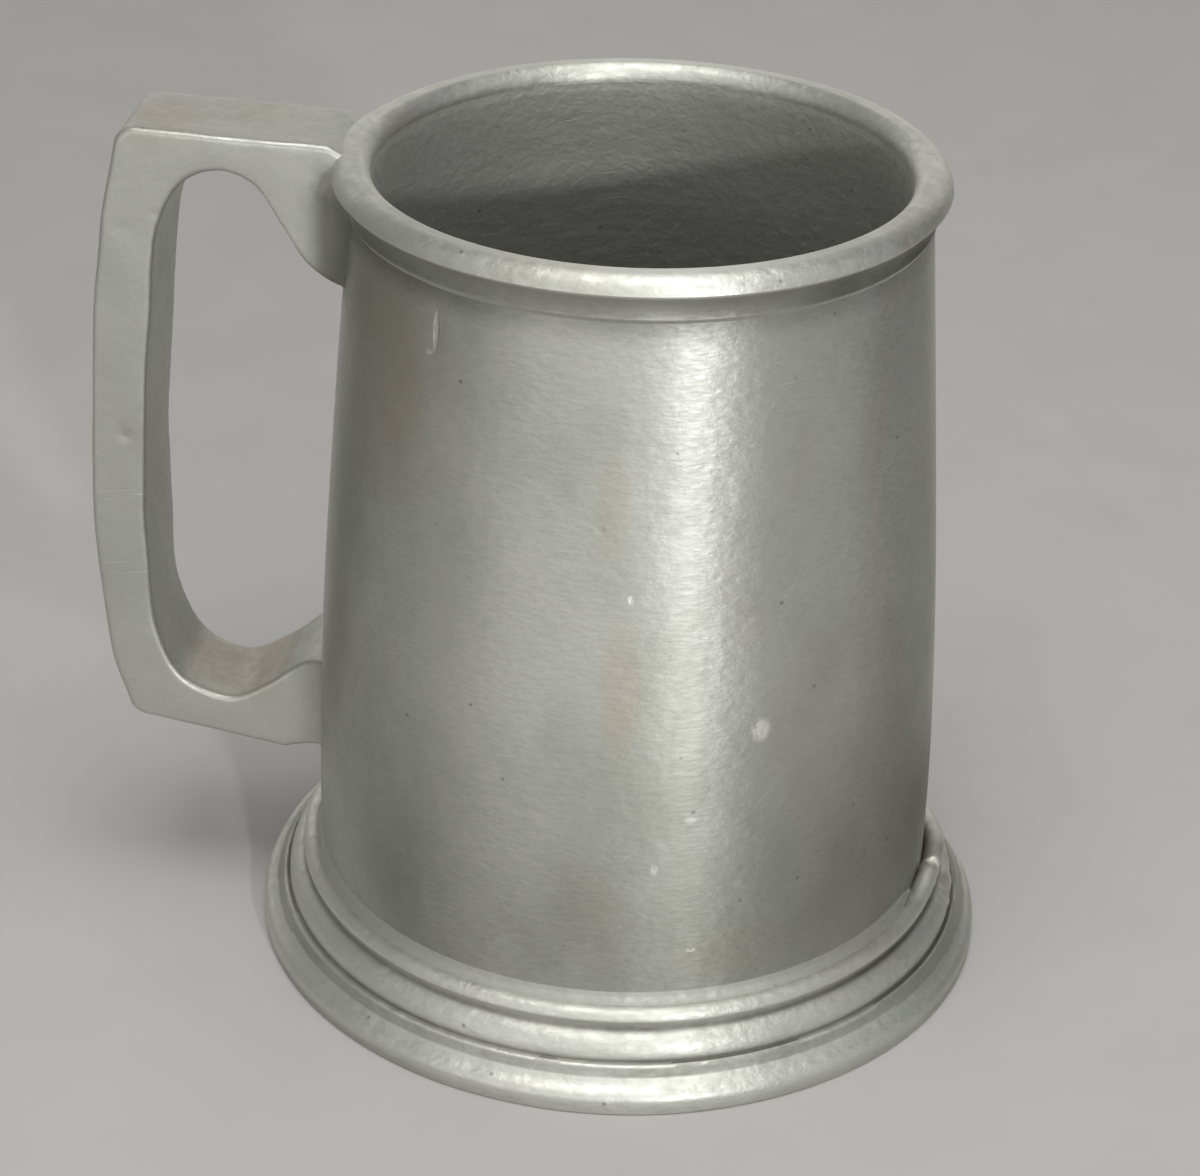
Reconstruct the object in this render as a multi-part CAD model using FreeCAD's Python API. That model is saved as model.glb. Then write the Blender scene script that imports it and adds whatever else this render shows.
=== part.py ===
import FreeCAD, Part
import math
import os

# A pint tankard in pewter: an open, slightly bellied barrel with a thick lip,
# a moulded foot and a strap handle.  The pieces are soft soldered together and
# nothing moves.  Millimetres.  +Z is up the barrel's axis, the origin is where
# that axis meets the table, and the handle stands out along -X.

# ---------------------------------------------------------------- dimensions
# barrel: a tube, open at both ends
BARREL_BASE_R = 45.7      # outside radius where the wall leaves the foot
BARREL_SEAT_R = 40.05     # outside radius at the foot of the lip's seat
BARREL_TOP_R = 39.7       # outside radius at the top of the seat, a plain cone
BARREL_WALL = 2.0
BARREL_LOW_Z = 8.6        # lower end, inside the foot
WALL_LOW_Z = 13.4         # the curved wall runs from here, at the foot's collar,
SEAT_Z = 112.4            # to here
BARREL_TOP_Z = 116.6      # upper end, inside the lip
BELLY = 4.2               # swell of the wall between its two ends
BELLY_SKEW = 2.1          # how far that swell sits towards the foot
WALL_STEPS = 12           # points up the wall's curve

# lip: a cast ring that caps the barrel and laps a little way down outside it
LIP_TOP_Z = 120.2
LIP_R = 42.2              # outside radius of the roll
LIP_EDGE_Z = 117.9        # sharp lower edge of the roll
LIP_SKIRT_Z = 114.0       # lower end of the cove under the roll
LIP_SKIRT_WALL = 0.45     # thickness left at that end
MOUTH_R = 36.9
MOUTH_ROUND = 1.5         # rounding inside the mouth, where one drinks
LIP_FLAT_R = 39.4         # outer end of the lip's flat top

# foot: a cast skirt, hollow underneath
FOOT_R = 55.0
FOOT_EDGE_Z = 2.1         # height of the upright edge
FOOT_RING_WALL = 2.4      # width of the ring that the tankard stands on
FLANGE_TOP = (51.9, 5.9)  # upper end of the flared flange
BEAD_FOOT = (50.8, 6.1)
BEAD_CREST = (50.3, 8.1)
BEAD_TOP = (48.9, 9.4)
GROOVE = (48.2, 10.0)
COLLAR_SIDE = (48.5, 11.1)
COLLAR_TOP = (46.8, 12.6)
UNDERCUT_Z = 5.6          # lower end of the foot's bore

# floor: a disc let into the lower end of the barrel
FLOOR_THICK = 2.2

# handle: a flat-sided strap cast in one piece; s is the distance from the axis
HANDLE_WIDTH = 15.7
HANDLE_ROUND = 0.8        # worn rounding along the handle's edges
ARM_RAMP = [(38.4, 120.3), (40.4, 121.2), (43.0, 121.6)]
ARM_TOP = [(43.0, 121.6), (68.2, 122.5)]
TOP_CORNER = [(68.2, 122.5), (70.4, 121.8), (71.5, 119.8)]
BACK = [(71.5, 119.8), (74.3, 106.9), (76.4, 86.9), (77.6, 61.3), (76.3, 40.6), (74.0, 32.0)]
LOW_CORNER = [(74.0, 32.0), (73.1, 30.2), (71.3, 29.4)]
ARM_BOTTOM = [(71.3, 29.4), (50.6, 25.8)]
HEEL = [(50.6, 25.8), (47.0, 27.0), (43.0, 29.2)]
GRIP = [
    (43.0, 43.2), (47.0, 41.0), (52.6, 36.6), (58.8, 33.7), (65.4, 36.5),
    (69.2, 44.5), (69.9, 60.0), (69.0, 80.8), (67.6, 95.0), (65.8, 108.6),
    (62.2, 115.0), (57.0, 117.0), (52.2, 115.2), (48.4, 109.6), (45.0, 104.3), (41.6, 102.6), (38.4, 102.9),
]

# solder
FILM = 0.25               # thickness between the handle's ends and the barrel
HANDLE_FILLET_R = 6.5     # sweep from the handle's sides onto the barrel
LIP_SEAM = 1.2            # height of the fillet under the lip's skirt
COLLAR_SEAM = 0.8         # fillet in and above the foot's collar
FLOOR_SEAM = 1.3          # fillet under the floor


# ------------------------------------------------------------------- helpers
def point(r, z):
    return FreeCAD.Vector(r, 0, z)


def line(a, b):
    return Part.makeLine(point(*a), point(*b))


def arc(a, middle, b):
    return Part.Arc(point(*a), point(*middle), point(*b)).toShape()


def curve(points):
    spline = Part.BSplineCurve()
    spline.interpolate([point(*p) for p in points])
    return spline.toShape()


def face_of(edges):
    return Part.Face(Part.Wire(edges))


def turned(edges):
    """Turn an outline in the XZ plane once round the barrel's axis."""
    return face_of(edges).revolve(FreeCAD.Vector(0, 0, 0), FreeCAD.Vector(0, 0, 1), 360)


def barrel_radius(z):
    """Outside radius of the barrel at height z: cylinder, curved wall, cone."""
    if z > SEAT_Z:
        return BARREL_SEAT_R + (BARREL_TOP_R - BARREL_SEAT_R) * (z - SEAT_Z) / (BARREL_TOP_Z - SEAT_Z)
    u = max(0.0, (z - WALL_LOW_Z) / (SEAT_Z - WALL_LOW_Z))
    taper = (BARREL_SEAT_R - BARREL_BASE_R) * u
    return BARREL_BASE_R + taper + u * (1 - u) * (BELLY + BELLY_SKEW * (1 - 2 * u))


def wall_curve(offset=0.0):
    """Points up the curved part of the wall, moved out from the axis by offset."""
    step = (SEAT_Z - WALL_LOW_Z) / WALL_STEPS
    heights = [WALL_LOW_Z + step * i for i in range(WALL_STEPS + 1)]
    return [(barrel_radius(z) + offset, z) for z in heights]


def lip_outside(film=0.0):
    """The lip's outside, from the skirt under its cove to its flat top, grown by a film."""
    skirt_z = LIP_SKIRT_Z - film
    skirt_in = (barrel_radius(skirt_z) + film, skirt_z)
    cove_low = (skirt_in[0] + LIP_SKIRT_WALL, skirt_z)
    cove_mid = (cove_low[0] + 0.35, LIP_SKIRT_Z + 2.2)
    cove_high = (LIP_R - 0.3 + film, LIP_EDGE_Z - 0.2 - film)
    edge = (LIP_R + film, LIP_EDGE_Z - film / 2)
    roll = (LIP_R - 0.8 + film * 0.7, LIP_TOP_Z - 0.75 + film * 0.7)
    crown = (LIP_FLAT_R, LIP_TOP_Z + film)
    return [
        line(skirt_in, cove_low),
        arc(cove_low, cove_mid, cove_high),
        line(cove_high, edge),
        arc(edge, roll, crown),
    ]


# -------------------------------------------------------------------- pieces
def make_barrel():
    outer = wall_curve()
    inner = wall_curve(-BARREL_WALL)
    top_out = (BARREL_TOP_R, BARREL_TOP_Z)
    top_in = (BARREL_TOP_R - BARREL_WALL, BARREL_TOP_Z)
    low_out = (BARREL_BASE_R, BARREL_LOW_Z)
    low_in = (BARREL_BASE_R - BARREL_WALL, BARREL_LOW_Z)
    return turned([
        line(low_out, outer[0]),
        curve(outer),
        line(outer[-1], top_out),
        line(top_out, top_in),
        line(top_in, inner[-1]),
        curve(inner[::-1]),
        line(inner[0], low_in),
        line(low_in, low_out),
    ])


def make_lip():
    crown = (LIP_FLAT_R, LIP_TOP_Z)
    mouth_top = (MOUTH_R + MOUTH_ROUND, LIP_TOP_Z)
    mouth_side = (MOUTH_R, LIP_TOP_Z - MOUTH_ROUND)
    cut = MOUTH_ROUND * (1 - math.sqrt(0.5))
    mouth_low = (MOUTH_R, BARREL_TOP_Z + 0.9)
    step_in = (BARREL_TOP_R - BARREL_WALL, BARREL_TOP_Z)
    step_out = (BARREL_TOP_R, BARREL_TOP_Z)
    skirt_in = (barrel_radius(LIP_SKIRT_Z), LIP_SKIRT_Z)
    return turned(
        lip_outside()
        + [
            line(crown, mouth_top),
            arc(mouth_top, (MOUTH_R + cut, LIP_TOP_Z - cut), mouth_side),
            line(mouth_side, mouth_low),
            line(mouth_low, step_in),
            line(step_in, step_out),
            line(step_out, skirt_in),
        ]
    )


def make_foot():
    bore = BARREL_BASE_R
    edge_low = (FOOT_R, 0.0)
    edge_high = (FOOT_R, FOOT_EDGE_Z)
    ledge = (BEAD_FOOT[0] + 0.5, BEAD_FOOT[1])
    seat = (bore, COLLAR_TOP[1] - COLLAR_SEAM)
    ring_in = (FOOT_R - FOOT_RING_WALL, 0.0)
    ring_in_high = (FOOT_R - FOOT_RING_WALL, 0.7)
    under_low = (ring_in[0] - 3.6, 3.9)
    under_high = (bore, UNDERCUT_Z)
    return turned([
        line(edge_low, edge_high),
        arc(edge_high, (FOOT_R - 0.4, FOOT_EDGE_Z + 0.9), (FOOT_R - 1.1, FOOT_EDGE_Z + 1.4)),
        arc((FOOT_R - 1.1, FOOT_EDGE_Z + 1.4), (52.7, 4.5), FLANGE_TOP),
        line(FLANGE_TOP, ledge),
        line(ledge, BEAD_FOOT),
        arc(BEAD_FOOT, BEAD_CREST, BEAD_TOP),
        arc(BEAD_TOP, GROOVE, COLLAR_SIDE),
        arc(COLLAR_SIDE, (48.0, 12.2), COLLAR_TOP),
        line(COLLAR_TOP, seat),
        line(seat, under_high),
        line(under_high, under_low),
        line(under_low, ring_in_high),
        line(ring_in_high, ring_in),
        line(ring_in, edge_low),
    ])


def make_floor():
    lift = FreeCAD.Vector(0, 0, BARREL_LOW_Z)
    return Part.makeCylinder(BARREL_BASE_R - BARREL_WALL, FLOOR_THICK, lift)


def handle_side(points):
    """Points of the handle's side view, moved to where the handle is, at x = -s."""
    return [(-s, z) for s, z in points]


def strap(width):
    """The handle's side view, extruded to a width centred on the XZ plane."""
    face = face_of([
        arc(*handle_side(ARM_RAMP)),
        line(*handle_side(ARM_TOP)),
        arc(*handle_side(TOP_CORNER)),
        curve(handle_side(BACK)),
        arc(*handle_side(LOW_CORNER)),
        line(*handle_side(ARM_BOTTOM)),
        arc(*handle_side(HEEL)),
        line(*handle_side([HEEL[-1], GRIP[0]])),
        curve(handle_side(GRIP)),
        line(*handle_side([GRIP[-1], ARM_RAMP[0]])),
    ])
    face.translate(FreeCAD.Vector(0, -width / 2, 0))
    return face.extrude(FreeCAD.Vector(0, width, 0))


def worn_strap():
    """The strap at the handle's width, with the edges of its two flat sides rounded."""
    blank = strap(HANDLE_WIDTH)
    long_edges = [
        edge for edge in blank.Edges
        if edge.BoundBox.YLength < HANDLE_WIDTH / 2
    ]
    return blank.makeFillet(HANDLE_ROUND, long_edges)


def body_outside(film=0.0):
    """A thick shell with the outside of the barrel and the lip, grown by a film."""
    inside = BARREL_TOP_R - 8
    wall = wall_curve(film)
    skirt_z = LIP_SKIRT_Z - film
    return turned(
        [line((inside, WALL_LOW_Z), wall[0]), curve(wall)]
        + [line(wall[-1], (barrel_radius(skirt_z) + film, skirt_z))]
        + lip_outside(film)
        + [
            line((LIP_FLAT_R, LIP_TOP_Z + film), (inside, LIP_TOP_Z + film)),
            line((inside, LIP_TOP_Z + film), (inside, WALL_LOW_Z)),
        ]
    )


def make_handle():
    return worn_strap().cut(body_outside(FILM))


def side_fillet(side, low, high):
    """A post that fills the corner between one side of the handle and the barrel.

    Its outer face sweeps from the handle's side round to the barrel's wall.
    """
    radius = HANDLE_FILLET_R
    barrel = barrel_radius((low + high) / 2)
    across = HANDLE_WIDTH / 2
    centre_y = across + radius
    centre_x = -math.sqrt((barrel + radius) ** 2 - centre_y**2)
    on_barrel = barrel / (barrel + radius)

    def plan(x, y):
        return FreeCAD.Vector(x, side * y, low)

    centre = plan(centre_x, centre_y)
    handle_end = plan(centre_x, across)
    barrel_end = plan(centre_x * on_barrel, centre_y * on_barrel)
    bisector = (handle_end - centre).normalize() + (barrel_end - centre).normalize()
    middle = centre + bisector.normalize() * radius
    inner_y = across - 1
    inner_a = plan(centre_x * on_barrel + 1, inner_y)
    inner_b = plan(centre_x, inner_y)
    plan_face = face_of([
        Part.Arc(handle_end, middle, barrel_end).toShape(),
        Part.makeLine(barrel_end, inner_a),
        Part.makeLine(inner_a, inner_b),
        Part.makeLine(inner_b, handle_end),
    ])
    return plan_face.extrude(FreeCAD.Vector(0, 0, high - low))


def make_handle_solder(low, high):
    """The film behind one end of the handle, with the fillets at its two sides."""
    depth = BARREL_BASE_R + 10
    slab = Part.makeBox(depth, 60, high - low, FreeCAD.Vector(-depth, -30, low))
    film = worn_strap().common(body_outside(FILM)).common(slab)
    post_top = min(high, LIP_EDGE_Z - 0.2)
    posts = side_fillet(1, low, post_top).fuse(side_fillet(-1, low, post_top))
    posts = posts.common(strap(HANDLE_WIDTH + 4 * HANDLE_FILLET_R))
    return film.fuse(posts).cut(body_outside()).cut(make_handle()).removeSplitter()


def make_lip_solder():
    low = (barrel_radius(LIP_SKIRT_Z - LIP_SEAM), LIP_SKIRT_Z - LIP_SEAM)
    high = (barrel_radius(LIP_SKIRT_Z), LIP_SKIRT_Z)
    skirt_out = (high[0] + LIP_SKIRT_WALL, LIP_SKIRT_Z)
    return turned([line(low, high), line(high, skirt_out), line(skirt_out, low)])


def make_foot_solder():
    seat = (BARREL_BASE_R, COLLAR_TOP[1] - COLLAR_SEAM)
    wall_high = (BARREL_BASE_R, COLLAR_TOP[1] + COLLAR_SEAM)
    return turned([line(seat, wall_high), line(wall_high, COLLAR_TOP), line(COLLAR_TOP, seat)])


def make_floor_solder():
    bore = (BARREL_BASE_R, BARREL_LOW_Z)
    low = (BARREL_BASE_R, BARREL_LOW_Z - FLOOR_SEAM)
    inner = (BARREL_BASE_R - BARREL_WALL - FLOOR_SEAM, BARREL_LOW_Z)
    return turned([line(bore, low), line(low, inner), line(inner, bore)])


handle = make_handle()
upper_solder = make_handle_solder(GRIP[-1][1] - 1, LIP_TOP_Z + 3)
lower_solder = make_handle_solder(ARM_BOTTOM[-1][1] - 1, GRIP[0][1] + 1)
PIECES = {
    "barrel": make_barrel(),
    "lip_ring": make_lip(),
    "foot_ring": make_foot(),
    "floor_disc": make_floor(),
    "handle": handle,
    "upper_handle_solder": upper_solder,
    "lower_handle_solder": lower_solder,
    # the seam under the lip stops on each side of the handle
    "lip_solder": make_lip_solder().cut(handle).cut(upper_solder),
    "foot_solder": make_foot_solder(),
    "floor_solder": make_floor_solder(),
}

os.makedirs("parts", exist_ok=True)
for name, shape in PIECES.items():
    shape.exportStep(f"parts/{name}.step")
    print(name, len(shape.Solids), "solid", shape.isValid(), round(shape.Volume / 1000, 3), "cm3")
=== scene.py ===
import math

import bmesh
import bpy
import numpy as np
from mathutils import Matrix, Vector


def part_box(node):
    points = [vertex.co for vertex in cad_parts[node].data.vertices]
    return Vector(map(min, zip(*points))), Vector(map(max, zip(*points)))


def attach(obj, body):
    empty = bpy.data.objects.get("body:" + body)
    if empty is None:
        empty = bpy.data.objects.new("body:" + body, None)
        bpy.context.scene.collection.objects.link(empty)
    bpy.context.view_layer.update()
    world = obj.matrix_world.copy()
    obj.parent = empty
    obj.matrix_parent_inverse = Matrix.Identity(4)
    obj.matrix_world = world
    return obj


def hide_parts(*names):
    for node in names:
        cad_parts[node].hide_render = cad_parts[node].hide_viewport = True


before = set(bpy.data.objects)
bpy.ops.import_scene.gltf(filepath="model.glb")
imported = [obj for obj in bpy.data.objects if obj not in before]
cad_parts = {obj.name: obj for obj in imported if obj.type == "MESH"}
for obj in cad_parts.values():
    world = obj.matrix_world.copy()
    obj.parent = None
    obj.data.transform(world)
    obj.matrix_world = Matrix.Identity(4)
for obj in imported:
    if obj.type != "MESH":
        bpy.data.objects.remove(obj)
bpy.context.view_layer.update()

# The looks of a pint pewter tankard.  Metres, +Z up the barrel's axis, the
# handle along -X.  Shapes are written in millimetres and scaled by MM.
MM = 0.001
SEED = 7

# ------------------------------------------------------------ from the frame
barrel_low, barrel_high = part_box("barrel")
lip_low, lip_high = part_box("lip_ring")
_, foot_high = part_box("foot_ring")
disc_low, disc_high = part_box("floor_disc")
_, handle_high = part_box("handle")

BARREL_BASE_R = barrel_high.x / MM
BARREL_LOW_Z = barrel_low.z / MM
BARREL_TOP_Z = barrel_high.z / MM
LIP_R = lip_high.x / MM
LIP_TOP_Z = lip_high.z / MM
LIP_SKIRT_Z = lip_low.z / MM
FOOT_R = foot_high.x / MM
COLLAR_TOP_Z = foot_high.z / MM
DISC_LOW_Z = disc_low.z / MM
DISC_TOP_Z = disc_high.z / MM
HANDLE_HALF_WIDTH = handle_high.y / MM

# the rest of the profile, as the CAD has it
BARREL_SEAT_R = 40.05     # outside radius at the lower end of the seat under the lip
BARREL_TOP_R = 39.7
BARREL_WALL = 2.0
WALL_LOW_Z = COLLAR_TOP_Z + 0.8
SEAT_Z = BARREL_TOP_Z - 4.2
BELLY = 4.2               # four times the bulge at half height
BELLY_SKEW = 2.1          # moves the bulge down the wall
MOUTH_R = LIP_R - 5.3


# ------------------------------------------------------------ outline helpers
def arc_points(a, middle, b, count):
    """Points on the circle through a, middle and b, from a to b."""
    ax, ay = a
    bx, by = middle
    cx, cy = b
    d = 2 * (ax * (by - cy) + bx * (cy - ay) + cx * (ay - by))
    ux = ((ax**2 + ay**2) * (by - cy) + (bx**2 + by**2) * (cy - ay) + (cx**2 + cy**2) * (ay - by)) / d
    uy = ((ax**2 + ay**2) * (cx - bx) + (bx**2 + by**2) * (ax - cx) + (cx**2 + cy**2) * (bx - ax)) / d
    radius = math.hypot(ax - ux, ay - uy)
    start = math.atan2(ay - uy, ax - ux)
    mid = (math.atan2(by - uy, bx - ux) - start) % math.tau
    end = (math.atan2(cy - uy, cx - ux) - start) % math.tau
    if mid > end:
        end -= math.tau
    angles = [start + end * i / (count - 1) for i in range(count)]
    return [(ux + radius * math.cos(t), uy + radius * math.sin(t)) for t in angles]


def spline_points(points, count):
    """A smooth centripetal Catmull-Rom curve through the points."""
    p = np.array(points, float)
    p = np.vstack([2 * p[0] - p[1], p, 2 * p[-1] - p[-2]])
    knots = np.concatenate([[0], np.cumsum(np.sqrt(np.linalg.norm(np.diff(p, axis=0), axis=1)))])
    out = []
    for t in np.linspace(knots[1], knots[-2], count):
        i = int(np.clip(np.searchsorted(knots, t, side="right") - 1, 1, len(p) - 3))
        t0, t1, t2, t3 = knots[i - 1:i + 3]
        a1 = (t1 - t) / (t1 - t0) * p[i - 1] + (t - t0) / (t1 - t0) * p[i]
        a2 = (t2 - t) / (t2 - t1) * p[i] + (t - t1) / (t2 - t1) * p[i + 1]
        a3 = (t3 - t) / (t3 - t2) * p[i + 1] + (t - t2) / (t3 - t2) * p[i + 2]
        b1 = (t2 - t) / (t2 - t0) * a1 + (t - t0) / (t2 - t0) * a2
        b2 = (t3 - t) / (t3 - t1) * a2 + (t - t1) / (t3 - t1) * a3
        out.append(tuple((t2 - t) / (t2 - t1) * b1 + (t - t1) / (t2 - t1) * b2))
    return out


def resampled(outline, spacing):
    """A closed outline with its long runs divided, so that no step exceeds the spacing."""
    out = []
    for a, b in zip(outline, outline[1:] + outline[:1]):
        a, b = np.array(a), np.array(b)
        length = np.linalg.norm(b - a)
        if length < 1e-6:
            continue
        steps = max(1, math.ceil(length / spacing))
        out += [tuple(a + (b - a) * k / steps) for k in range(steps)]
    return out


# ---------------------------------------------------------------- unevenness
def ripples(seed, waves, shortest, amplitude):
    """A smooth field over (angle, height) that closes round the axis.

    It has at most so many waves round the axis, and none shorter than shortest along it."""
    rng = np.random.default_rng(seed)
    turns = rng.integers(1, waves + 1, waves * 3)
    lifts = rng.uniform(-math.tau / shortest, math.tau / shortest, waves * 3)
    phases = rng.uniform(0, math.tau, waves * 3)
    weights = amplitude / (1 + 0.6 * turns) / math.sqrt(waves)

    def field(angle, height):
        total = np.zeros_like(angle)
        for turn, lift, phase, weight in zip(turns, lifts, phases, weights):
            total += weight * np.sin(turn * angle + lift * height + phase)
        return total

    return field


# ------------------------------------------------------------- mesh building
SHARP_ANGLE = math.radians(55)      # edges that bend more than this are shaded as sharp
CLOSE_RING = 0.04         # a second ring this close to an edge keeps its bend out of the shading


def new_piece(name, vertices, faces, material, replaced):
    """A visible piece from points in millimetres; replaced names the CAD nodes it stands for."""
    mesh = bpy.data.meshes.new(name)
    mesh.from_pydata([Vector(v) * MM for v in vertices], [], faces)
    mesh.validate()
    work = bmesh.new()
    work.from_mesh(mesh)
    bmesh.ops.recalc_face_normals(work, faces=work.faces)
    for edge in work.edges:
        edge.smooth = not edge.is_manifold or edge.calc_face_angle() < SHARP_ANGLE
    work.to_mesh(mesh)
    work.free()
    mesh.polygons.foreach_set("use_smooth", [True] * len(mesh.polygons))
    piece = bpy.data.objects.new(name, mesh)
    bpy.context.scene.collection.objects.link(piece)
    mesh.materials.append(material)
    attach(piece, "root")
    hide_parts(*replaced)
    return piece


def lathe(name, outline, segments, material, replaced, shape):
    """Turn a closed (r, z) outline round the axis; shape moves its points off the true circle."""
    r = np.array([p[0] for p in outline])
    z = np.array([p[1] for p in outline])
    angle = np.linspace(0, math.tau, segments, endpoint=False)
    rr, aa = np.meshgrid(r, angle)
    zz, _ = np.meshgrid(z, angle)
    rr, zz = shape(rr, aa, zz)
    vertices = np.stack([rr * np.cos(aa), rr * np.sin(aa), zz], -1).reshape(-1, 3)
    count = len(outline)
    faces = []
    for i in range(segments):
        for j in range(count):
            here, beyond = i * count, ((i + 1) % segments) * count
            up = (j + 1) % count
            faces.append((here + j, here + up, beyond + up, beyond + j))
    return new_piece(name, vertices, faces, material, replaced)


def barrel_radius(z):
    """Outside radius of the barrel at height z: cylinder in the foot, curved wall, cone in the lip."""
    if z > SEAT_Z:
        return BARREL_SEAT_R + (BARREL_TOP_R - BARREL_SEAT_R) * (z - SEAT_Z) / (BARREL_TOP_Z - SEAT_Z)
    u = max(0.0, (z - WALL_LOW_Z) / (SEAT_Z - WALL_LOW_Z))
    taper = (BARREL_SEAT_R - BARREL_BASE_R) * u
    return BARREL_BASE_R + taper + u * (1 - u) * (BELLY + BELLY_SKEW * (1 - 2 * u))


# ----------------------------------------------------------------- materials
MIX_INPUTS = (0, 6, 7)    # the colour mode's factor, A and B among the Mix node's sockets
MIX_OUTPUT = 2


class Shader:
    """Short calls for building one node-based material."""

    def __init__(self, name):
        self.material = bpy.data.materials.new(name)
        self.material.use_nodes = True
        self.tree = self.material.node_tree
        self.surface = self.tree.nodes["Principled BSDF"]
        self.coords = self.node("TexCoord").outputs["Object"]

    def node(self, kind):
        return self.tree.nodes.new("ShaderNode" + kind)

    def link(self, source, target):
        """Join an output to a socket, or set the socket when the source is a plain value."""
        if isinstance(source, (int, float, tuple)):
            target.default_value = source
        else:
            self.tree.links.new(source, target)

    def stretched(self, scale, turn=(0, 0, 0)):
        """Object coordinates, turned in degrees and then scaled, in features a metre."""
        turned = self.node("Mapping")
        turned.inputs["Rotation"].default_value = [math.radians(t) for t in turn]
        self.link(self.coords, turned.inputs["Vector"])
        scaled = self.node("Mapping")
        scaled.inputs["Scale"].default_value = scale
        self.link(turned.outputs["Vector"], scaled.inputs["Vector"])
        return scaled.outputs["Vector"]

    def noise(self, vector, detail=2.0, rough=0.5, bend=0.0):
        node = self.node("TexNoise")
        self.link(vector, node.inputs["Vector"])
        node.inputs["Scale"].default_value = 1.0
        node.inputs["Detail"].default_value = detail
        node.inputs["Roughness"].default_value = rough
        node.inputs["Distortion"].default_value = bend
        return node.outputs["Fac"]

    def cells(self, vector):
        """Distance to the nearest of the scattered points, and a random colour for each."""
        node = self.node("TexVoronoi")
        self.link(vector, node.inputs["Vector"])
        node.inputs["Scale"].default_value = 1.0
        return node.outputs["Distance"], node.outputs["Color"]

    def band(self, value, low, high, out_low=0.0, out_high=1.0):
        """A smooth step from out_low to out_high as the value goes from low to high."""
        node = self.node("MapRange")
        node.interpolation_type = "SMOOTHSTEP"
        self.link(value, node.inputs["Value"])
        for key, number in (("From Min", low), ("From Max", high), ("To Min", out_low), ("To Max", out_high)):
            node.inputs[key].default_value = number
        return node.outputs["Result"]

    def math(self, operation, a, b):
        node = self.node("Math")
        node.operation = operation
        self.link(a, node.inputs[0])
        self.link(b, node.inputs[1])
        return node.outputs["Value"]

    def times(self, a, b):
        return self.math("MULTIPLY", a, b)

    def mix(self, amount, a, b):
        node = self.node("Mix")
        node.data_type = "RGBA"
        factor, colour_a, colour_b = (node.inputs[i] for i in MIX_INPUTS)
        self.link(amount, factor)
        self.link(a, colour_a)
        self.link(b, colour_b)
        return node.outputs[MIX_OUTPUT]

    def attribute(self, name):
        node = self.node("Attribute")
        node.attribute_name = name
        return node.outputs["Fac"]

    def bump(self, height, distance, below=None):
        """Relief of so many metres, laid over the relief below it."""
        node = self.node("Bump")
        node.inputs["Strength"].default_value = 1.0
        node.inputs["Distance"].default_value = distance
        self.link(height, node.inputs["Height"])
        if below is not None:
            self.link(below, node.inputs["Normal"])
        return node.outputs["Normal"]

    def near(self, spot, stretch, size):
        """1 at a spot in metres, falling to 0 at size, in space stretched along each axis."""
        moved = self.node("Mapping")
        moved.vector_type = "TEXTURE"
        moved.inputs["Location"].default_value = spot
        moved.inputs["Scale"].default_value = stretch
        self.link(self.coords, moved.inputs["Vector"])
        length = self.node("VectorMath")
        length.operation = "LENGTH"
        self.link(moved.outputs["Vector"], length.inputs[0])
        return self.band(length.outputs["Value"], size * 0.35, size, 1.0, 0.0)


CLEAN = (0.594, 0.600, 0.560)
DULL = (0.440, 0.455, 0.405)
BROWN = (0.500, 0.430, 0.375)
RUST = (0.500, 0.400, 0.320)
BRIGHT = (0.840, 0.830, 0.790, 1)
# near-black for dirty pits and for painted shade in hollows
GRIME_AND_SHADE = (0.090, 0.090, 0.070, 1)


def toned(colour, tone):
    """The colour made lighter or darker, with its alpha."""
    return (*(part * tone for part in colour), 1)


def tarnished(s, clouds, tone, tarnish, stains):
    """Clean metal under cloudy dullness, brown patches and the stains."""
    patches = s.noise(s.stretched((34, 34, 13), (8, 6, 0)), detail=3, rough=0.55)
    dulled = s.band(clouds, 0.38, 0.66, 0.0, 0.75 * tarnish)
    colour = s.mix(dulled, toned(CLEAN, tone), toned(DULL, tone))
    colour = s.mix(s.band(patches, 0.56, 0.74, 0.0, 0.55 * tarnish), colour, toned(BROWN, tone))
    for place, stretch, size, amount in stains:
        here = s.times(s.near(place, stretch, size), s.band(patches, 0.30, 0.60, 0.5, 1.0))
        colour = s.mix(s.times(here, amount), colour, toned(RUST, tone))
    return colour


def stray_scratches(s):
    """A few thin scratches, each family of lines running its own way."""
    scratches = None
    families = (((12, 8, 0), (70, 70, 2600)), ((65, 20, 10), (90, 90, 2400)), ((-40, 30, 60), (60, 60, 3000)))
    for turn, stretch in families:
        streaks = s.noise(s.stretched(stretch, turn), detail=1, rough=0.4, bend=0.15)
        thin = s.band(streaks, 0.735, 0.775)
        scratches = thin if scratches is None else s.math("MAXIMUM", scratches, thin)
    gate = s.noise(s.stretched((60, 60, 60), (0, 45, 20)), detail=1)
    return s.times(scratches, s.band(gate, 0.48, 0.62))


def few_pits(s):
    """Small round pits in about a fifth of the cells."""
    distance, cell = s.cells(s.stretched((420, 420, 420)))
    chosen = s.band(cell, 0.80, 0.86)
    return s.times(s.band(distance, 0.06, 0.18, 1.0, 0.0), chosen)


def turned_sheen(s, amount):
    """Stretch the reflections across the fine lines that turning leaves round the axis."""
    tangent = s.node("Tangent")
    tangent.direction_type = "RADIAL"
    tangent.axis = "Z"
    s.link(tangent.outputs["Tangent"], s.surface.inputs["Tangent"])
    s.surface.inputs["Anisotropic"].default_value = amount
    s.surface.inputs["Anisotropic Rotation"].default_value = 0.25


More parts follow.
